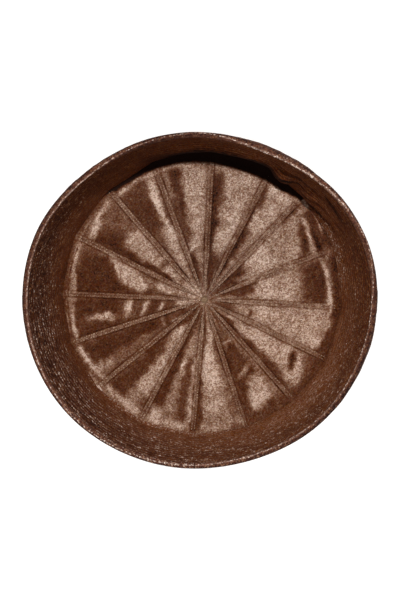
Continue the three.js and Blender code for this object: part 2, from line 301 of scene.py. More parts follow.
def facing(middle, reach, at):
    """1 in one direction, and 0 from reach degrees to each side of it."""
    return hump(turn_from(middle, at), reach)


def direction_of(x, y):
    """The direction of a point from the origin, in degrees."""
    return np.degrees(np.arctan2(y, x))


def bell(distance, width):
    """1 in the middle, about a third at width and nearly 0 at twice the width."""
    return np.exp(-((distance / width) ** 2))


def from_table(table, at, beyond=None):
    """A value from rows of direction and value, for directions between the rows too."""
    return np.interp(np.asarray(at) % 360, *zip(*table), left=beyond, right=beyond)


def unevenness(x, y, size, seed):
    """Smooth random numbers from -1 to 1 over a plane, about size metres from one to the next."""
    cells = 64
    lattice = np.random.default_rng(seed).uniform(-1, 1, (cells, cells))
    column, row = np.floor(x / size).astype(int), np.floor(y / size).astype(int)
    right, above = ease(x / size - column, 0, 1), ease(y / size - row, 0, 1)
    column, row = column % cells, row % cells
    next_column, next_row = (column + 1) % cells, (row + 1) % cells
    low = lattice[row, column] * (1 - right) + lattice[row, next_column] * right
    high = lattice[next_row, column] * (1 - right) + lattice[next_row, next_column] * right
    return low * (1 - above) + high * above


def across_gore(at):
    """Where a direction from the meeting point lies in its gore: 0 in its middle, 1 at a seam."""
    starts = np.array([seam[0] for seam in seams])
    past = (np.asarray(at)[..., None] - starts) % 360
    ahead = (starts - np.asarray(at)[..., None]) % 360
    start, end = past.min(-1), np.where(ahead == 0, 360, ahead).min(-1)
    return np.abs(2 * start / (start + end) - 1)


def crown_edge(at):
    """Inside radius of the corner between crown and band, in a direction from the origin."""
    x, y = crown_radius * np.cos(np.radians(at)), crown_radius * np.sin(np.radians(at))
    across_it = across_gore(direction_of(x - meet[0], y - meet[1]))
    return crown_radius - edge_flat * (1 - across_it**2) + crown_swell * facing(80, 48, at)


def gore_reach(at):
    """How far the crown's edge lies from the meeting point, in a direction from that point."""
    reach = np.full(np.shape(at), crown_radius)
    for _ in range(6):
        x, y = meet[0] + reach * np.cos(np.radians(at)), meet[1] + reach * np.sin(np.radians(at))
        reach = reach + crown_edge(direction_of(x, y)) - np.hypot(x, y)
    return reach


def crease_rise(at, out):
    """How far the creases lift the cloth, in a direction and at a share of the way out."""
    rise = np.zeros(np.shape(at))
    for middle, reach, way_out, spread, slant, lift in creases:
        turn = turn_from(middle, at)
        rise += crease_lift * lift * hump(turn, reach) * hump(out - way_out - slant * turn / reach, spread)
    return rise


def pile_tone(at, out, x, y):
    """The tone of the crown's pile: its patches, with ragged edges, laid over one another."""
    margin = from_table(dark_margin, at, beyond=1.2)
    in_shade = ease(out + 0.004 * unevenness(x, y, 3 * mm, 7), margin - 0.011, margin + 0.012)
    ragged = unevenness(x, y, 7 * mm, 1) + 0.8 * unevenness(x, y, 2.4 * mm, 2)
    ragged_too = unevenness(x, y, 7 * mm, 3) + 0.8 * unevenness(x, y, 2.4 * mm, 4)
    at = at + 0.9 * ragged / np.maximum(out, 0.25)
    tone = np.full(np.shape(at), 0.5)
    for start, end, near, far, patch_tone, *askew in pile_patches:
        slant, lean = (*askew, 0, 0)[:2]
        half_turn, half_way = (end - start) / 2, (far - near) / 2
        rough_way = 0.012 * ragged_too * min(1, half_way / 0.03)
        way = out + rough_way - near - half_way
        leant = start + half_turn + lean * np.clip(way / (2 * half_way), -0.6, 0.6)
        turn = turn_from(leant, at)
        way = way - slant * turn / half_turn
        soft_turn = np.minimum(2.0 / np.maximum(out, 0.3), 0.7 * half_turn)
        soft_way = min(0.04, 0.8 * half_way)
        cover = 1 - ease(np.abs(turn), half_turn - soft_turn, half_turn + soft_turn)
        cover = cover * (1 - ease(np.abs(way), half_way - soft_way, half_way + soft_way))
        tone = tone + (patch_tone - tone) * cover
    along = unevenness(at, out * 5, 1.6, 5) + 0.6 * unevenness(at, out * 9, 0.8, 6)
    across = unevenness(at / 7, out * 38, 1, 8) + unevenness(at / 3, out * 70, 1, 9)
    clouds = unevenness(x, y, 5 * mm, 10) + 0.7 * unevenness(x, y, 2 * mm, 13)
    middle_tone, contrast, shade_tone = 0.44, 0.86, -0.2
    tone = middle_tone + contrast * (tone - middle_tone)
    tone = tone - 0.08 * facing(15, 100, at) + 0.035 * facing(255, 95, at)
    tone = tone + (0.25 + tone) * (0.035 * along + 0.055 * across + 0.095 * clouds)
    return tone + (shade_tone - tone) * in_shade


def cloth_faces(rows, columns):
    """Faces of a closed body between an upper and a lower grid of points."""
    number = np.arange(2 * rows * columns).reshape(2, rows, columns)
    upper, lower = number
    sides = [
        (upper[:-1, :-1], upper[1:, :-1], upper[1:, 1:], upper[:-1, 1:]),
        (lower[:-1, :-1], lower[:-1, 1:], lower[1:, 1:], lower[1:, :-1]),
        (upper[:-1, 0], lower[:-1, 0], lower[1:, 0], upper[1:, 0]),
        (upper[:-1, -1], upper[1:, -1], lower[1:, -1], lower[:-1, -1]),
        (upper[0, :-1], upper[0, 1:], lower[0, 1:], lower[0, :-1]),
        (upper[-1, :-1], lower[-1, :-1], lower[-1, 1:], upper[-1, 1:]),
    ]
    return np.concatenate([np.stack(side, -1).reshape(-1, 4) for side in sides]).tolist()


def set_lay(piece, values, kind="lay"):
    """Store a number at each point of a mesh, under a name."""
    attribute = piece.data.attributes.new(kind, "FLOAT", "POINT")
    attribute.data.foreach_set("value", np.asarray(values, np.float32).ravel())


def on_points(nodes, kind):
    """What set_lay stored under a name, for a material."""
    attribute = nodes.new("ShaderNodeAttribute")
    attribute.attribute_name = kind
    return attribute.outputs["Fac"]


def colour_ramp(nodes, links, tone, colours):
    """Colours along a tone, from rows of position and colour."""
    ramp = nodes.new("ShaderNodeValToRGB")
    elements = ramp.color_ramp.elements
    elements.remove(elements[1])
    for row, (position, *colour) in enumerate(colours):
        element = elements.new(position) if row else elements[0]
        element.position = position
        element.color = (*colour, 1)
    links.new(tone, ramp.inputs["Fac"])
    return ramp.outputs["Color"]


def velvet(name, colours, sheen, tuft_size, grain, glint, mottle, bump):
    """Velvet: colour from the lay of its pile, broken up tuft by tuft and by soft mottling.

    Single tufts glint with a painted highlight, most where the pile is worn. Where the colour is marked to
    grey, it is greyer.
    """
    material, nodes, links, shader = start_material(name, roughness=0.85, specular=0.1)
    set_inputs(shader, Sheen_Weight=sheen, Sheen_Roughness=0.45, Sheen_Tint=(0.95, 0.75, 0.62, 1))
    place = nodes.new("ShaderNodeTexCoord")

    def speckle(size, detail, roughness):
        texture = nodes.new("ShaderNodeTexNoise")
        set_inputs(texture, Scale=1 / size, Detail=detail, Roughness=roughness)
        links.new(place.outputs["Object"], texture.inputs["Vector"])
        return texture.outputs["Fac"]

    def combine(operation, first, second):
        node = nodes.new("ShaderNodeMath")
        node.operation = operation
        for socket, value in zip(node.inputs, (first, second)):
            if isinstance(value, (int, float)):
                socket.default_value = value
            else:
                links.new(value, socket)
        return node.outputs[0]

    def break_up(tone, pattern, strength):
        pattern = combine("MULTIPLY", combine("SUBTRACT", pattern, 0.5), strength)
        return combine("ADD", tone, combine("MULTIPLY", pattern, depth))

    least_depth, mottle_size, glint_from, glint_rise = 0.23, 9 * mm, 0.72, 3.5
    lay = on_points(nodes, "lay")
    depth = combine("ADD", combine("MAXIMUM", lay, 0), least_depth)
    tufts = set_inputs(nodes.new("ShaderNodeTexVoronoi"), Scale=1 / tuft_size)
    links.new(place.outputs["Object"], tufts.inputs["Vector"])
    one_tuft = nodes.new("ShaderNodeSeparateColor")
    links.new(tufts.outputs["Color"], one_tuft.inputs["Color"])
    red, green, blue = (one_tuft.outputs[name] for name in ("Red", "Green", "Blue"))
    fuzz = speckle(1.7 * tuft_size, 2, 0.8)
    tone = break_up(lay, speckle(mottle_size, 2, 0.5), mottle)
    tone = break_up(tone, red, grain)
    tone = break_up(tone, fuzz, 1.1 * grain)
    # Painted highlights: single tufts glint, as far as the points ask for it.
    glints = combine("SUBTRACT", green, glint_from)
    glints = combine("MAXIMUM", combine("MULTIPLY", glints, glint_rise * glint), 0)
    tone = combine("ADD", tone, combine("MULTIPLY", glints, on_points(nodes, "wear_and_glint")))
    tint = nodes.new("ShaderNodeHueSaturation")
    least_hue, hue_spread, least_strength, strength_spread, fading = 0.49, 0.02, 0.9, 0.24, 0.13
    hue = combine("ADD", combine("MULTIPLY", green, hue_spread), least_hue)
    links.new(hue, tint.inputs["Hue"])
    strength = combine("ADD", combine("MULTIPLY", blue, strength_spread), least_strength)
    strength = combine("SUBTRACT", strength, combine("MULTIPLY", on_points(nodes, "greying"), fading))
    links.new(strength, tint.inputs["Saturation"])
    links.new(colour_ramp(nodes, links, tone, colours), tint.inputs["Color"])
    links.new(tint.outputs["Color"], shader.inputs["Base Color"])
    pile_bump = set_inputs(nodes.new("ShaderNodeBump"), Strength=bump, Distance=0.4 * mm)
    links.new(fuzz, pile_bump.inputs["Height"])
    links.new(pile_bump.outputs["Normal"], shader.inputs["Normal"])
    return material


crown_velvet = velvet(
    "crown_velvet",
    colours=((0, 0.011, 0.0026, 0.001), (0.03, 0.042, 0.011, 0.0036), (0.14, 0.072, 0.0205, 0.007),
             (0.32, 0.125, 0.05, 0.026), (0.55, 0.235, 0.13, 0.085), (0.78, 0.42, 0.285, 0.215),
             (1, 0.64, 0.475, 0.39)),
    sheen=0.03,
    tuft_size=0.62 * mm,
    grain=0.52,
    glint=0.3,
    mottle=0.25,
    bump=0.6,
)
# Where a gore's points lie: beside a seam, across its middle, and along it as shares of its length.
lip_offsets = np.array([0, 0.2, 0.45, 0.7, 0.9, 1.05, 1.2, 1.45, 1.7, 1.95, 2.25, 2.7, 3.3]) * mm
middle_columns = 22
gore_rows = np.concatenate([np.linspace(0, 0.97, 108), [0.98, 0.99, 1.0]])


def lip_profile(distance):
    """Height of the welt beside a seam, with its stitched line and the furrow beyond it."""
    past_middle = np.maximum(0, (distance - lip_width / 2) / (lip_width / 2))
    roll = np.sqrt(np.clip(1 - past_middle**2, 0, 1))
    stitched = 0.35 * bell(distance - stitch_beside, 0.18 * mm)
    furrow = 0.3 * bell(distance - 2.0 * mm, 0.45 * mm)
    return lip_height * (roll * (1 - stitched) - furrow - 0.45 * np.exp(-distance / (0.15 * mm)))


def gore_pile(at, out, x, y, top, from_seam, share, welt_wear):
    """The lay of a gore's pile: its patches, painted shading by its slopes, the worn welts, and painted
    shade in their furrows.
    """
    tone = pile_tone(at, out / crown_radius, x, y)
    # Painted shading: darker where the gore rises outwards, lighter where it falls.
    slope_along = np.gradient(top, axis=0) / np.maximum(np.gradient(out, axis=0), 1e-6)
    tone = tone - 0.1 * np.clip(slope_along, -1, 1)
    near_middle = 1 - ease(share, 0.05, 0.4)
    on_lip = 1 - ease(from_seam, 1.0 * mm, 1.5 * mm)
    welt_wear = welt_wear + (0.9 - welt_wear) * near_middle
    worn_lip = 0.52 + 0.08 * near_middle + 0.16 * unevenness(at, out / crown_radius * 12, 1, 14)
    stitched_line = bell(from_seam - stitch_beside, 0.22 * mm) * (1 - 0.7 * near_middle)
    furrow = bell(from_seam - 1.75 * mm, 0.45 * mm) * ease(share, 0.04, 0.12)
    furrow = furrow * (1 + 0.6 * near_middle + 0.8 * unevenness(at, out / crown_radius * 7, 1, 15))
    seam_tone = (worn_lip - 0.22 * stitched_line - tone) * welt_wear * on_lip
    # Painted shade in the furrow beside each welt.
    seam_tone = seam_tone - 0.23 * furrow * (0.25 + 0.75 * ease(tone, 0.05, 0.4))
    seam_tone = seam_tone - 0.14 * np.exp(-from_seam / (0.2 * mm))
    return tone + seam_tone * ease(tone, -0.15, 0) * (1 - 0.7 * ease(share, 0.88, 0.97))


def make_gore(index):
    """One gore between two seams, from the tack to under the band."""
    start, puff_share, start_wear = seams[index]
    end, _, end_wear = seams[(index + 1) % len(seams)]
    end = end + (360 if index + 1 == len(seams) else 0)
    span = math.radians(end - start)
    tip = tack_radius + seam_gap
    share = np.append(gore_rows, 1.0)[:, None]
    under_band = np.append(np.zeros(len(gore_rows)), 1.0)[:, None]
    width = (tip + (crown_radius - tip) * share) * span
    squeeze = np.minimum(1, width * 0.3 / lip_offsets[-1])
    left = seam_gap / 2 + lip_offsets[None, :] * squeeze
    between = (np.arange(1, middle_columns) / middle_columns)[None, :]
    inner = left[:, -1:] + (width - 2 * left[:, -1:]) * between
    arc = np.concatenate([left, inner, width - left[:, ::-1]], 1)
    at = start + (end - start) * arc / width
    reach = gore_reach(at)
    out = tip + (reach - tip) * share + under_band * band_cloth
    x = meet[0] + out * np.cos(np.radians(at))
    y = meet[1] + out * np.sin(np.radians(at))
    from_seam = np.minimum(arc, width - arc) / squeeze

    # The upper side: the welts, the padding, the creases and the edge that goes under the band
    padded_from = padding_beside * squeeze
    in_middle = np.clip((from_seam * squeeze - padded_from) / (width / 2 - padded_from), 0, 1)
    to_seat = ease(share, 0.93, 1)
    swelling = ease(share, 0, 0.3) * (1 - ease(share, 0.9, 1))
    rise = crease_rise(at, np.minimum(out / reach, 1)) * ease(from_seam, 0, 3 * mm)
    wavy = unevenness(x, y, 9 * mm, 11) * 0.35 * mm + unevenness(x, y, 3.5 * mm, 12) * 0.12 * mm
    top = seam_height + lip_profile(from_seam) * (1 - to_seat) * ease(share, 0, 0.05)
    top = top + gore_puff * puff_share * (1 - (1 - in_middle) ** 2.5) * swelling
    top = top + (rise + wavy * ease(from_seam, 1 * mm, 4 * mm) * swelling) * (1 - to_seat)
    top = np.maximum(gore_cloth, top + (seat_height - top) * to_seat)

    # The underside: flat where it rests, drawn up at the seams and at the edge
    groove = bell(from_seam, 1.3 * mm) + 0.35 * bell(from_seam - 1.1 * mm, 0.2 * mm)
    near_tip = 1 - ease(share, 0, 0.14)
    bottom = under_seam * np.maximum(np.minimum(groove, 1.2), near_tip)
    bottom = bottom + (under_edge - bottom) * np.maximum(0.4 * ease(share, 0.92, 1) ** 2, under_band)

    number = f"{index + 1:02d}"
    sides = [np.stack([x, y, height], -1).reshape(-1, 3) for height in (top, bottom)]
    gore = build_mesh(
        f"velvet_gore_{number}", np.concatenate(sides), cloth_faces(*x.shape), crown_velvet
    )
    welt_wear = np.where(arc < width / 2, start_wear, end_wear)
    tone = gore_pile(at, out, x, y, top, from_seam, share, welt_wear)
    # The underside: painted shade in the grooves under the seams.
    outside_tone = 0.3 + 0.12 * unevenness(x, y, 12 * mm, 21) - 0.15 * groove
    set_lay(gore, np.concatenate([tone.ravel(), outside_tone.ravel()]))
    # Painted highlights: tufts glint all over the crown.
    set_lay(gore, np.full(2 * tone.size, 0.4), "wear_and_glint")
    set_lay(gore, np.tile(0.5 * facing(75, 110, at).ravel(), 2), "greying")
    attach(gore, "root")
    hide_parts(f"crown_gore_{number}")


for index in range(len(seams)):
    make_gore(index)

# The quilted band
# A stiff wall of the same velvet over a firm core, quilted in sixteen level rows and folded
# over at the rim. Handling has dented it behind the crown, pulled its rim in and rubbed its pile.
rim_length = 190 * mm
rim_width = 179 * mm
cap_height = 55 * mm
row_count = 16
row_depth = 0.5 * mm
hem_pull = 1.6 * mm
dent_depth = 4.2 * mm
foot_height = seat_height + 0.1 * mm
fold_height = cap_height - band_cloth / 2
widest_share = 0.8  # of the height, where the wall stands out furthest
wall_radius = 87 * mm  # its mean, by which a turn becomes a length round the wall
# Where the rim is pulled in: direction, reach, share of hem_pull.
hem_pulls = [(-18, 40, 1.0), (64, 30, 0.95), (132, 28, 0.6), (186, 42, 0.75), (292, 34, 0.6)]
# Dents: direction, reach, height, rise, and share of dent_depth, negative where it bellies out.
dents = [
    (84, 38, 0.4, 0.36, 0.75),
    (56, 8, 0.34, 0.34, 1.0),
    (44, 7, 0.28, 0.3, 0.6),
    (155, 40, 0.45, 0.45, -0.3),
    (310, 50, 0.5, 0.5, -0.35),
]
# Where the fold's pressed edge runs, with its painted highlight: direction, distance in from the cap's
# outline.
pressed_edge = [
    (0, 3.0 * mm), (20, 0.5 * mm), (42, 2.4 * mm), (67, 3.0 * mm), (90, 0.5 * mm), (103, 1.4 * mm),
    (130, 2.7 * mm), (172, 2.7 * mm), (215, 1.7 * mm), (242, 1.3 * mm), (262, 2.0 * mm),
    (285, 2.7 * mm), (315, 2.8 * mm), (345, 3.0 * mm), (360, 3.0 * mm),
]
# How strong the painted highlight along that edge is: direction, share.
edge_highlight = [
    (0, 0.75), (25, 0.8), (45, 1), (80, 1), (98, 0.5), (120, 0.7), (140, 0.85), (165, 0.75), (190, 1),
    (215, 0.95), (250, 0.75), (280, 0.75), (310, 0.6), (330, 0.6), (360, 0.7),
]
# How rubbed the wall's pile is: direction, share.
wall_wear = [
    (0, 0.65), (40, 0.4), (90, 0.2), (120, 0.35), (150, 1), (185, 1.25), (220, 1.1), (250, 0.95),
    (285, 0.85), (320, 0.85), (360, 0.65),
]
# Sharp creases in the wall, drawn as painted shade: from and to direction, share of the height at each,
# half width, and how dark the painted shade in each is.
wall_creases = [
    (45, 24, 0.02, 0.36, 0.06, 0.42),
    (61, 50, 0.3, 0.12, 0.03, 0.26),
    (66, 38, 0.4, 0.5, 0.025, 0.28),
    (62, 30, 0.62, 0.62, 0.03, 0.26),
    (47, 22, 0.3, 0.56, 0.03, 0.22),
    (40, 24, 0.75, 0.72, 0.05, 0.26),
]
# How the rows of stitches kink beside the dents: direction, reach, drop as a share of the height.
kinks = [(46, 5, 0.035), (56, 6, 0.045), (112, 9, 0.012), (20, 12, -0.012)]


def dent_push(at, share):
    """How far the dents push the wall in, in a direction and at a share of its height."""
    push = np.zeros(np.broadcast(at, share).shape)
    for middle, reach, height, rise, depth in dents:
        push = push + dent_depth * depth * facing(middle, reach, at) * hump(share - height, rise)
    return push


def wall_outside(at, share):
    """Outside radius of the wall, in a direction and at a share of its height."""
    foot = crown_edge(at) + band_cloth
    turn = np.radians(at)
    widest = 1 / np.hypot(np.cos(turn) / (rim_length / 2), np.sin(turn) / (rim_width / 2))
    radius = widest - (widest - foot) * np.maximum(0, 1 - share / widest_share) ** 1.25
    hem = np.maximum(0, (share - widest_share) / (1 - widest_share)) ** 2
    for middle, reach, pull in hem_pulls:
        radius = radius - hem_pull * pull * facing(middle, reach, at) * hem
    return radius - dent_push(at, share)


def wall_inside(at, share):
    """Inside radius: straight from the crown's edge to the fold, but for the dents."""
    foot = crown_edge(at)
    crest = wall_outside(at, 1.0) - band_cloth
    return foot + (crest - foot) * share - dent_push(at, share)


band_velvet = velvet(
    "band_velvet",
    colours=((0, 0.01, 0.002, 0.001), (0.16, 0.075, 0.0168, 0.0042), (0.34, 0.163, 0.047, 0.0145),
             (0.5, 0.265, 0.097, 0.04), (0.64, 0.375, 0.2, 0.13), (1, 0.92, 0.68, 0.57)),
    sheen=0.02,
    tuft_size=0.65 * mm,
    grain=0.42,
    glint=0.9,
    mottle=0.12,
    bump=0.4,
)


def on_wall(at, radius, height):
    """Points at a direction, a radius and a height, as rows of x, y and z."""
    turn = np.radians(at)
    return np.stack([radius * np.cos(turn), radius * np.sin(turn), height], -1)


def round_wall(at):
    """A direction as a length round the wall."""
    return at * math.pi / 180 * wall_radius


def wall_height(share):
    """Height above the floor at a share of the wall's height."""
    return foot_height + (fold_height - foot_height) * share


def row_shift(at, share):
    """How far a row of stitches wanders from level, as a share of the height."""
    arc, height = round_wall(at), share * cap_height
    shift = 0.006 * unevenness(arc, height, 14 * mm, 31) + 0.003 * unevenness(arc, height, 4 * mm, 39)
    for middle, reach, drop in kinks:
        shift = shift + drop * facing(middle, reach, at) * (1 - ease(share, 0.55, 0.95))
    return shift


def off_row(share):
    """0 at a row of stitches and 1 half way to the next."""
    return np.abs((share * row_count) % 1 - 0.5) * 2


def quilted(share):
    """How far the cloth is drawn in at a share of the height: most at each row of stitches."""
    return row_depth * (1 - np.sqrt(1 - (1 - off_row(share)) ** 2))


def wear(at, share):
    """How much of the wall's pile is worn off: most on the left and least in the dents."""
    return from_table(wall_wear, at) * (0.5 + 0.5 * ease(share, 0.1, 0.6))


def inside_pile(at, share):
    """Tone, glints and greying inside the wall: darker upwards and between the worn rows, with painted
    shade along the rows of stitches and the creases and over the dents.
    """
    arc, height, row_share = round_wall(at), wall_height(share), share + row_shift(at, share)
    dusty = unevenness(arc, height, 1.6 * mm, 35)
    clouds = unevenness(arc, height, 6 * mm, 38)
    tone = 0.34 + 0.13 * facing(310, 75, at) - 0.08 * facing(175, 80, at)
    tone = tone + 0.05 * facing(60, 40, at) + 0.035 * clouds
    tone = tone - (0.12 + 0.05 * facing(315, 70, at)) * ease(share, 0.2, 0.9)

    from_row, worn = off_row(row_share), wear(at, share)
    rows_shown = 0.3 + 0.7 * facing(225, 95, at)
    # Painted shade along each row of stitches, painted light on the puffs between them.
    row_shading = 0.16 - 0.1 * rows_shown + 0.12 * facing(60, 55, at)
    tone = tone + row_shading * (from_row - 0.5) * ease(share, 0.05, 0.25) + 0.05 * worn * dusty
    worn_there = worn * rows_shown * ease(share, 0.02, 0.25)
    worn_row = worn_there * (1 - ease(from_row, 0.3, 0.8)) * (0.8 + 0.6 * dusty)
    tone = tone + 0.19 * worn_row - 0.08 * worn_there
    wear_and_glint = worn * (0.5 - 0.25 * rows_shown + 0.35 * dusty) * ease(share, 0.02, 0.3)

    # Painted shade along each crease.
    for start, end, near, far, half_width, depth in wall_creases:
        way = turn_from(start, at) / (end - start)
        line = bell(row_share - near - (far - near) * way, half_width)
        tone = tone - depth * line * ease(way, -0.05, 0.1) * (1 - ease(way, 0.4, 1))
    at_foot = facing(245, 60, at) * (1 - ease(share + 0.05 * dusty, 0.02, 0.13))
    at_foot = at_foot + facing(22, 26, at) * (1 - ease(share, 0.12, 0.36)) * (0.8 + 0.9 * dusty)
    in_shade = facing(80, 46, at) * (1 - ease(share + 0.04 * dusty, 0.3, 0.62))
    tone = tone + 0.12 * at_foot - 0.5 * in_shade
    return tone, wear_and_glint + 0.3 * worn_row + 0.9 * at_foot, 1.6 * worn_row


def fold_pile(at, fold_turn):
    """The same on the fold: painted shade on its outer side, a painted highlight along its pressed edge,
    and fainter painted highlights beyond it.
    """
    inset = band_cloth / 2 * (1 - np.cos(fold_turn))
    inner_side = ease(fold_turn, math.radians(50), math.radians(150))
    # Painted shade on the fold's outer side; its inner side is lighter.
    tone = 0.05 + (0.17 - 0.13 * facing(107, 34, at)) * inner_side - 0.04 * facing(325, 55, at)
    # Painted highlight along the pressed edge, fainter painted highlights beyond it, and greyer colour in
    # the highlight.
    edge = from_table(pressed_edge, at)
    edge_spread = 0.4 + 0.35 * facing(48, 36, at) + 0.2 * facing(315, 40, at)
    on_highlight = from_table(edge_highlight, at) * bell(inset - edge, edge_spread * mm)
    upper_rim = np.maximum(facing(45, 40, at), facing(127, 26, at))
    beyond_edge = ease(inset, 0.25 * mm, 0.7 * mm) * (1 - ease(inset, edge, edge + 0.5 * mm))
    beyond_edge = beyond_edge * (0.2 + 0.6 * upper_rim - 0.15 * facing(325, 55, at))
    second_line = bell(inset - 0.95 * mm, 0.24 * mm) * ease(edge, 1.2 * mm, 2 * mm)
    speckled = 0.66 + 0.8 * unevenness(round_wall(at), inset, 1.1 * mm, 37)
    tone = tone + speckled * (0.4 * on_highlight + 0.16 * beyond_edge + 0.09 * second_line)
    wear_and_glint = 0.28 - 0.15 * facing(148, 55, at) + 0.3 * facing(255, 60, at)
    return tone, wear_and_glint + 0.4 * on_highlight + 0.2 * beyond_edge, 1.5 + 0.8 * on_highlight


def outside_pile(at, share):
    """The same outside the wall, which is even and hardly worn, with painted shade along its rows of
    stitches and painted light between them.
    """
    patchy = unevenness(round_wall(at), wall_height(share), 5 * mm, 36)
    tone = 0.14 + 0.1 * (off_row(share + row_shift(at, share)) - 0.5) + 0.05 * patchy
    return tone, 0.1 + 0 * tone, 0 * tone


def make_band():
    """The wall and its fold in one closed ring: up the inside, over the rim, down the outside."""
    around, steps_per_row, fold_steps = 432, 5, 18
    at = np.arange(around)[:, None] * 360 / around
    share = np.linspace(0, 1, row_count * steps_per_row + 1)[None, :]
    arc, height = round_wall(at), wall_height(share)
    pucker = 0.12 * mm * unevenness(arc, height, 2.4 * mm, 32)
    pucker = pucker + 0.18 * mm * unevenness(arc, height, 7 * mm, 33)
    pucker = pucker * ease(share, 0, 0.05) * (1 - ease(share, 0.95, 1))
    drawn = quilted(share + row_shift(at, share)) * ease(share, 0, 0.02)
    inner = wall_inside(at, share) + drawn + pucker
    outer = wall_outside(at, share) - drawn + pucker
    fold_turn = np.linspace(math.pi, 0, fold_steps + 2)[None, 1:-1]
    crest = wall_outside(at, 1.0) - band_cloth / 2
    hem_wave = 0.25 * mm * unevenness(arc, 0 * arc, 4 * mm, 34)
    fold_radius = crest + band_cloth / 2 * np.cos(fold_turn)
    fold_rise = fold_height + (band_cloth / 2 + hem_wave) * np.sin(fold_turn)
    radius = np.concatenate([inner, fold_radius, outer[:, ::-1]], 1)
    rise = np.concatenate([height + 0 * inner, fold_rise, (height + 0 * outer)[:, ::-1]], 1)
    size = radius.shape[1]
    number = np.arange(around * size).reshape(around, size)
    beside = np.roll(number, -1, 0)
    faces = np.stack([number, np.roll(number, -1, 1), np.roll(beside, -1, 1), beside], -1)
    points = on_wall(at, radius, rise).reshape(-1, 3)
    band = build_mesh("velvet_band", points, faces.reshape(-1, 4).tolist(), band_velvet)
    outside = [values[:, ::-1] for values in outside_pile(at, share)]
    parts = zip(inside_pile(at, share), fold_pile(at, fold_turn), outside)
    for kind, values in zip(("lay", "wear_and_glint", "greying"), parts):
        set_lay(band, np.concatenate(values, 1), kind)
    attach(band, "root")
    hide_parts("quilted_band")


make_band()

# The stitching
# Short stitches of brown thread: lines beside every seam of the crown, above and below, rows
# round the band on both its faces and along its fold, and a few ends worked loose on the left.
stitch_sides = 4
thread_thickness = 0.42 * mm
upward = np.array([0.0, 0.0, 1.0])


def thread_material(name, colour, shade):
    """Twisted cotton thread: fine dark and light turns across it."""
    material, nodes, links, shader = start_material(name, roughness=0.9, specular=0.05)
    place = nodes.new("ShaderNodeTexCoord")
    twist = set_inputs(nodes.new("ShaderNodeTexNoise"), Scale=1 / (0.9 * mm))
    links.new(place.outputs["Object"], twist.inputs["Vector"])
    mixed = nodes.new("ShaderNodeMath")
    mixed.operation = "MULTIPLY_ADD"
    mixed.inputs[1].default_value = 0.4
    links.new(twist.outputs["Fac"], mixed.inputs[0])
    links.new(on_points(nodes, "lay"), mixed.inputs[2])
    colours = ((0.2, *shade), (1, *colour))
    links.new(colour_ramp(nodes, links, mixed.outputs[0], colours), shader.inputs["Base Color"])
    return material


def tube_faces(number):
    """Faces between rings of numbered points, one ring to a row."""
    beside = np.roll(number, -1, 1)
    return np.stack([number[:-1], beside[:-1], beside[1:], number[1:]], -1).reshape(-1, 4).tolist()


def stitch_mesh(name, centres, along, outward, length, thickness, paleness, material):
    """Short rounded stitches at each centre, lying along one direction with their ends sunk in."""
    length = np.asarray(length)[:, None]
    along = along / np.linalg.norm(along, axis=-1, keepdims=True)
    outward = outward - along * np.sum(outward * along, -1, keepdims=True)
    outward = outward / np.linalg.norm(outward, axis=-1, keepdims=True)
    aside = np.cross(outward, along)
    # Rings of points: place from one end to the other, girth, and how far each is sunk in
    rings = [(-1, 0.35, -0.9), (-0.55, 1, 0), (0.55, 1, 0), (1, 0.35, -0.9)]
    points = []
    for place, girth, sink in rings:
        for side in range(stitch_sides):
            angle = 2 * math.pi * side / stitch_sides
            points.append(
                centres
                + along * (place * length / 2)
                + outward * (thickness / 2 * (sink + girth * math.cos(angle)))
                + aside * (thickness / 2 * girth * math.sin(angle))
            )
    number = np.arange(len(rings) * stitch_sides).reshape(len(rings), stitch_sides)
    faces = [*tube_faces(number), number[0, ::-1].tolist(), number[-1].tolist()]
    firsts = range(0, number.size * len(centres), number.size)
    every = [[corner + first for corner in face] for first in firsts for face in faces]
    made = build_mesh(name, np.stack(points, 1).reshape(-1, 3), every, material)
    set_lay(made, np.repeat(paleness, number.size))
    return made


def along_row(at):
    """The level way along a row of stitches, at a direction from the axis."""
    turn = np.radians(at)
    return np.stack([-np.sin(turn), np.cos(turn), 0 * turn], -1)


seam_thread = thread_material("seam_thread", colour=(0.6, 0.45, 0.33), shade=(0.1, 0.045, 0.022))
row_thread = thread_material("row_thread", colour=(0.93, 0.66, 0.5), shade=(0.07, 0.02, 0.006))
hem_thread = thread_material("hem_thread", colour=(0.85, 0.66, 0.56), shade=(0.075, 0.027, 0.012))


def seam_stitches():
    """Both lines of each seam, which stop short of the dark corner behind the dented wall."""
    pitch, thickness, first = 1.5 * mm, 0.36 * mm, 7 * mm
    on_welt, in_groove = 0.72, 0.62  # shares of the welt's height and of the groove's depth
    chance = np.random.default_rng(41)
    top_centres, under_centres, along, shown = [], [], [], []
    for start, _, welt_wear in seams:
        ray = np.array([math.cos(math.radians(start)), math.sin(math.radians(start))])
        aside = np.array([-ray[1], ray[0]])
        reach = float(gore_reach(np.array(float(start))))
        under_fold, behind_dents = start < 30, 44 < start < 112
        last = 0.88 * reach if behind_dents else reach - (5 if under_fold else 2) * mm
        for side in (-1, 1):
            for place in np.arange(first, last, pitch) + chance.uniform(0, pitch):
                drift = chance.uniform(-0.08, 0.08) * mm
                off_seam = (side * stitch_beside + drift) * min(1, place / (18 * mm))
                spot = meet + ray * place + aside * off_seam
                rise_to_seat = (seat_height - seam_height - 0.4 * mm) * ease(place / reach, 0.93, 1)
                top_centres.append((*spot, seam_height + lip_height * on_welt + rise_to_seat))
                under_centres.append((*spot, under_seam * in_groove))
                along.append((*ray, 0))
                shown.append(welt_wear)
    along = np.array(along)
    length = chance.uniform(0.8, 1.2, len(along)) * mm
    paleness = np.array(shown) * chance.uniform(0, 1.2, len(along)) ** 1.3
    lines = (
        ("seam_stitches", np.array(top_centres), upward),
        ("seam_stitches_under", np.array(under_centres), -upward),
    )
    for name, centres, outward in lines:
        line = stitch_mesh(name, centres, along, outward, length, thickness, paleness, seam_thread)
        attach(line, "root")


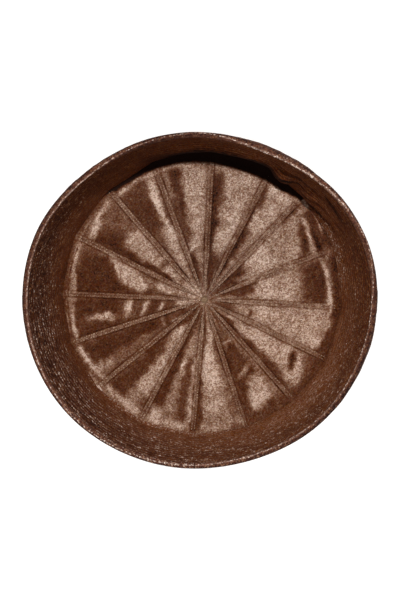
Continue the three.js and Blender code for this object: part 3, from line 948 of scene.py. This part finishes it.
def row_stitches():
    """The band's sixteen rows, palest where the wall is most worn, and duller outside."""
    per_row, sunk, tilt = 330, 0.05 * mm, 0.15
    chance = np.random.default_rng(42)
    inside, outside, along, inward, paleness = [], [], [], [], []
    for row in range(row_count):
        share = (row + 0.5) / row_count
        at = (np.arange(per_row) + chance.uniform(-0.3, 0.3, per_row)) * 360 / per_row
        shares = share - row_shift(at, np.full(at.shape, share))
        height = wall_height(shares)
        drawn = row_depth - sunk
        inside.append(on_wall(at, wall_inside(at, shares) + drawn, height))
        outside.append(on_wall(at, wall_outside(at, shares) - drawn, height))
        along.append(along_row(at))
        inward.append(on_wall(at, -1, tilt + 0 * at))
        shown_share = 0.35 + 0.65 * facing(225, 95, at)
        paleness.append(wear(at, share) * shown_share * chance.uniform(0, 1, per_row) ** 1.8 * 1.25)
    along, inward, paleness = (np.concatenate(rows) for rows in (along, inward, paleness))
    length = chance.uniform(0.6, 1.3, len(along)) * mm
    sides = (
        ("row_stitches_inside", np.concatenate(inside), inward, paleness),
        ("row_stitches_outside", np.concatenate(outside), -inward, paleness / 3),
    )
    for name, centres, outward, shown in sides:
        line = stitch_mesh(name, centres, along, outward, length, thread_thickness, shown, row_thread)
        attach(line, "root")


def hem_stitches():
    """One row along the pressed edge of the fold, pale in places with the fold's painted highlight."""
    per_row, proud = 340, 0.05 * mm
    chance = np.random.default_rng(43)
    at = (np.arange(per_row) + chance.uniform(-0.25, 0.25, per_row)) * 360 / per_row
    inset = from_table(pressed_edge, at) + chance.uniform(-0.15, 0.15, per_row) * mm
    fold = np.arccos(np.clip(1 - inset / (band_cloth / 2), -1, 1))
    crest = wall_outside(at, np.ones(per_row)) - band_cloth / 2
    radius = crest + (band_cloth / 2 + proud) * np.cos(fold)
    height = fold_height + (band_cloth / 2 + proud) * np.sin(fold)
    centres = on_wall(at, radius, height)
    outward = on_wall(at, np.cos(fold), np.sin(fold))
    along = along_row(at)
    paleness = from_table(edge_highlight, at) * chance.uniform(0, 1.1, per_row) ** 1.8
    length = chance.uniform(0.9, 1.5, per_row) * mm
    line = stitch_mesh(
        "hem_stitches", centres, along, outward, length, thread_thickness, paleness, hem_thread
    )
    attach(line, "root")


def loose_ends():
    """Ends of thread that have worked out of the crown's edge on the left."""
    chance = np.random.default_rng(45)
    count = 7
    at = np.radians(chance.uniform(216, 222.5, count))
    way_out = chance.uniform(0.975, 1.0, count) * crown_radius
    spots = meet + np.stack([np.cos(at), np.sin(at)], -1) * way_out[:, None]
    centres = np.column_stack([spots, seat_height + chance.uniform(0.15, 0.5, count) * mm])
    aim = at + math.pi / 2 + chance.uniform(-0.45, 0.45, count)
    along = np.column_stack([np.cos(aim), np.sin(aim), 0 * aim])
    length, paleness = chance.uniform(1.5, 4.0, count) * mm, np.ones(count)
    ends = stitch_mesh("loose_ends", centres, along, upward, length, 0.3 * mm, paleness, hem_thread)
    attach(ends, "root")


seam_stitches()
row_stitches()
hem_stitches()
loose_ends()

# The tack
# A small knot of drab thread that gathers the gores' tips in the middle: a wound core, with
# a dozen short turns of the thread lying over it every way.
def make_tack():
    """The wound core, closed at the top and the bottom, and the turns of thread over it."""
    around, rings = 48, 24
    low, high = under_seam, seam_height + 2 * lip_height
    turn = np.arange(around)[None, :] * 2 * math.pi / around
    climb = np.linspace(-math.pi / 2, math.pi / 2, rings)[:, None]
    windings = 1 + 0.09 * np.sin(5 * turn + 9 * climb) + 0.05 * np.sin(11 * turn - 14 * climb)
    radius = tack_radius * np.cos(climb) ** 0.6 * windings
    x, y = meet[0] + radius * np.cos(turn), meet[1] + radius * np.sin(turn)
    z = (low + high) / 2 + (high - low) / 2 * np.sin(climb) * windings
    faces = tube_faces(np.arange(around * rings).reshape(rings, around))
    thread = thread_material("knot_thread", colour=(0.37, 0.25, 0.16), shade=(0.2, 0.12, 0.07))
    tack = build_mesh("thread_tack", np.stack([x, y, z], -1).reshape(-1, 3), faces, thread)
    set_lay(tack, 0.1 + 0.3 * np.sin(5 * turn + 9 * climb))
    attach(tack, "root")
    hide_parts("crown_tack")
    chance = np.random.default_rng(44)
    turns = 12
    golden_share = 0.618
    aim = np.arange(turns) * math.pi * golden_share
    spots = meet + chance.uniform(-0.45, 0.45, (turns, 2)) * tack_radius
    centres = np.column_stack([spots, high - 0.1 * mm + chance.uniform(0, 0.35, turns) * mm])
    along = np.column_stack([np.cos(aim), np.sin(aim), 0 * aim])
    length, paleness = chance.uniform(2.0, 3.2, turns) * mm, chance.uniform(-0.2, 1, turns)
    turns_over = stitch_mesh(
        "thread_tack_turns", centres, along, upward, length, thread_thickness, paleness, thread
    )
    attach(turns_over, "root")


make_tack()
